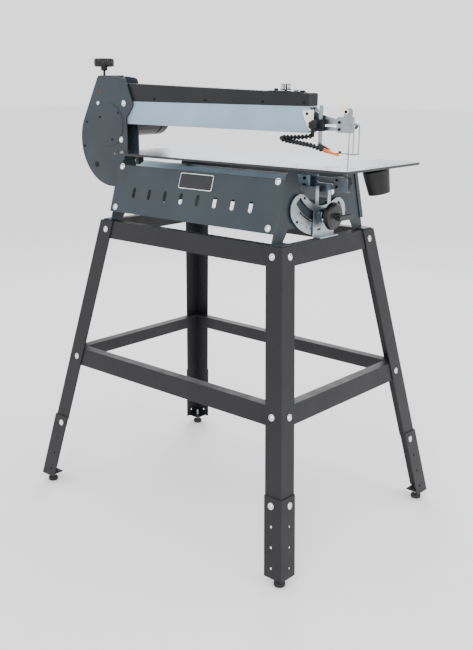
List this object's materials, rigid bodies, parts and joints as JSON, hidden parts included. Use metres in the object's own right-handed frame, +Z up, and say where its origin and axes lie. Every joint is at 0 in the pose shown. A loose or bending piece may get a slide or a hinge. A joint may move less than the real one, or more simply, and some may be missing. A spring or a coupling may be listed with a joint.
{
  "type": "scroll saw",
  "caption": "Large tilting-head scroll saw: long parallel arms, rear tower with motor, fixed table, slotted base, angle-iron stand with extendable legs.",
  "frame": {"origin": "on the floor under the middle of the machine's overall box", "axes": "+Z up, +Y to the rear tower, -Y to the operator, -X the operator's left"},
  "size_m": [0.7198, 1.1119, 1.28],
  "materials": {
    "stand_paint": "satin powder coat",
    "slate_paint": "satin powder coat",
    "table_steel": "polished",
    "zinc_steel": "zinc plated",
    "blade_steel": "hardened",
    "arm_paint": "satin silver blue",
    "black_metal": "satin powder coat",
    "motor_black": "satin black",
    "black_plastic": "moulded",
    "foot_rubber": "moulded",
    "dial_metal": "turned",
    "cream_plastic": "moulded",
    "orange_plastic": "moulded"
  },
  "bodies": {
    "stand": {"leg_front_left": "stand_paint", "leg_front_right": "stand_paint", "leg_rear_left": "stand_paint", "leg_rear_right": "stand_paint", "leg_extension_front_left": "stand_paint", "leg_extension_front_right": "stand_paint", "leg_extension_rear_left": "stand_paint", "leg_extension_rear_right": "stand_paint", "top_rail_front": "stand_paint", "top_rail_rear": "stand_paint", "top_rail_left": "stand_paint", "top_rail_right": "stand_paint", "shelf_rail_front": "stand_paint", "shelf_rail_rear": "stand_paint", "shelf_rail_left": "stand_paint", "shelf_rail_right": "stand_paint", "base_bracket_front": "slate_paint", "base_bracket_rear": "slate_paint", "side_cover_left": "slate_paint", "side_cover_right": "slate_paint", "table": "table_steel", "storage_cup": "black_plastic", "pinion_bracket": "zinc_steel"},
    "head": {"tilt_quadrant": "zinc_steel", "tower_plate_left": "slate_paint", "tower_plate_right": "slate_paint", "lower_arm": "stand_paint", "upper_arm": "arm_paint", "arm_top_cover": "black_metal", "motor_housing": "motor_black", "foot_clamp": "black_metal", "air_hose": "black_plastic"},
    "upper_head": {"upper_head_block": "zinc_steel", "blade": "blade_steel"},
    "tilt_knob": {"tilt_knob": "black_plastic"},
    "tilt_lock_lever": {"tilt_lock_lever": "black_plastic"},
    "speed_dial": {"speed_dial": "dial_metal"},
    "power_button": {"power_button": "black_plastic"},
    "blade_tension_knob": {"blade_tension_knob": "black_plastic"},
    "motor_eccentric": {"motor_eccentric": "zinc_steel"},
    "rocking_lever": {"rocking_lever": "zinc_steel"},
    "connecting_rod": {"connecting_rod": "zinc_steel"},
    "push_rod_upper": {"push_rod_upper": "zinc_steel"},
    "push_rod_lower": {"push_rod_lower": "zinc_steel"},
    "upper_rocker": {"upper_rocker": "zinc_steel"},
    "upper_link_bar": {"upper_link_bar": "zinc_steel"},
    "blade_release_lever": {"blade_release_lever": "cream_plastic"},
    "upper_thumbscrew": {"upper_thumbscrew": "black_plastic"},
    "lower_rocker": {"lower_rocker": "zinc_steel"},
    "lower_link_bar": {"lower_link_bar": "zinc_steel"},
    "lower_head_block": {"lower_head_block": "zinc_steel"},
    "lower_thumbscrew": {"lower_thumbscrew": "black_plastic"},
    "foot_lock_knob": {"foot_lock_knob": "black_plastic"},
    "drop_foot_bar": {"drop_foot_bar": "zinc_steel"},
    "drop_foot": {"drop_foot": "zinc_steel"},
    "air_nozzle": {"air_nozzle": "orange_plastic"},
    "levelling_foot_front_left": {"levelling_foot_front_left": "foot_rubber"},
    "levelling_foot_front_right": {"levelling_foot_front_right": "foot_rubber"},
    "levelling_foot_rear_left": {"levelling_foot_rear_left": "foot_rubber"},
    "levelling_foot_rear_right": {"levelling_foot_rear_right": "foot_rubber"}
  },
  "joints": [
    {"name": "head_tilt", "type": "hinge", "parent": "stand", "child": "head", "pos_m": [0, 0, 1.0175], "axis": [0, 1, 0], "range_deg": [-45, 30]},
    {"name": "tilt_knob_turn", "type": "hinge", "parent": "stand", "child": "tilt_knob", "pos_m": [0, -0.38, 0.8831], "axis": [0, 1, 0], "range_deg": [-450, 675]},
    {"name": "tilt_lock_turn", "type": "hinge", "parent": "stand", "child": "tilt_lock_lever", "pos_m": [0, -0.43, 0.8831], "axis": [0, 1, 0], "range_deg": [-30, 60]},
    {"name": "blade_stroke", "type": "hinge", "parent": "head", "child": "upper_rocker", "pos_m": [0, -0.324, 1.118], "axis": [1, 0, 0], "range_deg": [-6, 6]},
    {"name": "upper_link_swing", "type": "hinge", "parent": "head", "child": "upper_link_bar", "pos_m": [0, -0.324, 1.101], "axis": [1, 0, 0], "range_deg": [-6, 6]},
    {"name": "upper_head_level", "type": "hinge", "parent": "upper_rocker", "child": "upper_head", "pos_m": [0, -0.415, 1.118], "axis": [1, 0, 0], "range_deg": [-6, 6]},
    {"name": "lower_rocker_swing", "type": "hinge", "parent": "head", "child": "lower_rocker", "pos_m": [0, -0.324, 0.959], "axis": [1, 0, 0], "range_deg": [-6, 6]},
    {"name": "lower_link_swing", "type": "hinge", "parent": "head", "child": "lower_link_bar", "pos_m": [0, -0.324, 0.976], "axis": [1, 0, 0], "range_deg": [-6, 6]},
    {"name": "lower_head_level", "type": "hinge", "parent": "lower_rocker", "child": "lower_head_block", "pos_m": [0, -0.415, 0.959], "axis": [1, 0, 0], "range_deg": [-6, 6]},
    {"name": "rocking_lever_swing", "type": "hinge", "parent": "head", "child": "rocking_lever", "pos_m": [0, 0.39, 1.0385], "axis": [1, 0, 0], "range_deg": [-1.5, 1.5]},
    {"name": "connecting_rod_swing", "type": "hinge", "parent": "rocking_lever", "child": "connecting_rod", "pos_m": [0, 0.39, 1.11], "axis": [1, 0, 0], "range_deg": [-1.5, 1.5]},
    {"name": "upper_rod_slide", "type": "slide", "parent": "head", "child": "push_rod_upper", "axis": [0, 1, 0], "range_m": [-0.0027, 0.0027]},
    {"name": "lower_rod_slide", "type": "slide", "parent": "head", "child": "push_rod_lower", "axis": [0, 1, 0], "range_m": [-0.0027, 0.0027]},
    {"name": "motor_spin", "type": "hinge", "parent": "head", "child": "motor_eccentric", "pos_m": [0, 0.424, 1.11], "axis": [1, 0, 0], "continuous": true},
    {"name": "tension_knob_turn", "type": "hinge", "parent": "head", "child": "blade_tension_knob", "pos_m": [0, 0.472, 1.255], "axis": [0, 0, 1], "continuous": true},
    {"name": "speed_dial_turn", "type": "hinge", "parent": "head", "child": "speed_dial", "pos_m": [0, -0.238, 1.1925], "axis": [0, 0, 1], "range_deg": [0, 270]},
    {"name": "power_button_press", "type": "slide", "parent": "head", "child": "power_button", "axis": [0, 0, 1], "range_m": [-0.003, 0], "stiffness_N_per_m": 300},
    {"name": "blade_release_swing", "type": "hinge", "parent": "upper_head", "child": "blade_release_lever", "pos_m": [0, -0.435, 1.144], "axis": [1, 0, 0], "range_deg": [0, 60]},
    {"name": "upper_thumbscrew_turn", "type": "hinge", "parent": "upper_head", "child": "upper_thumbscrew", "pos_m": [0, -0.44, 1.108], "axis": [1, 0, 0], "continuous": true},
    {"name": "lower_thumbscrew_turn", "type": "hinge", "parent": "lower_head_block", "child": "lower_thumbscrew", "pos_m": [0, -0.44, 0.966], "axis": [1, 0, 0], "continuous": true},
    {"name": "foot_lock_turn", "type": "hinge", "parent": "head", "child": "foot_lock_knob", "pos_m": [-0.0185, -0.352, 1.11], "axis": [1, 0, 0], "range_deg": [-270, 90]},
    {"name": "foot_height", "type": "slide", "parent": "head", "child": "drop_foot_bar", "axis": [0, 0, 1], "range_m": [-0.005, 0.03]},
    {"name": "foot_pivot", "type": "hinge", "parent": "drop_foot_bar", "child": "drop_foot", "pos_m": [0, -0.383, 1.0505], "axis": [1, 0, 0], "range_deg": [-5, 2]},
    {"name": "nozzle_swivel", "type": "hinge", "parent": "head", "child": "air_nozzle", "pos_m": [-0.0235, -0.38, 1.05], "axis": [0.2378, -0.9304, -0.2791], "continuous": true},
    {"name": "foot_screw_front_left", "type": "hinge", "parent": "stand", "child": "levelling_foot_front_left", "pos_m": [-0.33658, -0.51915, 0], "axis": [0, 0, 1], "continuous": true},
    {"name": "foot_screw_front_right", "type": "hinge", "parent": "stand", "child": "levelling_foot_front_right", "pos_m": [0.33658, -0.51915, 0], "axis": [0, 0, 1], "continuous": true},
    {"name": "foot_screw_rear_left", "type": "hinge", "parent": "stand", "child": "levelling_foot_rear_left", "pos_m": [-0.33658, 0.39515, 0], "axis": [0, 0, 1], "continuous": true},
    {"name": "foot_screw_rear_right", "type": "hinge", "parent": "stand", "child": "levelling_foot_rear_right", "pos_m": [0.33658, 0.39515, 0], "axis": [0, 0, 1], "continuous": true}
  ],
  "couplings": [
    {"joint": "tilt_knob_turn", "follows": "head_tilt", "ratio": -15},
    {"joint": "upper_link_swing", "follows": "blade_stroke", "ratio": 1},
    {"joint": "upper_head_level", "follows": "blade_stroke", "ratio": -1},
    {"joint": "lower_rocker_swing", "follows": "blade_stroke", "ratio": 1},
    {"joint": "lower_link_swing", "follows": "blade_stroke", "ratio": 1},
    {"joint": "lower_head_level", "follows": "blade_stroke", "ratio": -1},
    {"joint": "rocking_lever_swing", "follows": "blade_stroke", "ratio": 0.23923},
    {"joint": "connecting_rod_swing", "follows": "blade_stroke", "ratio": -0.23923},
    {"joint": "upper_rod_slide", "follows": "blade_stroke", "m_per_rad": -0.025},
    {"joint": "lower_rod_slide", "follows": "blade_stroke", "m_per_rad": 0.025}
  ]
}
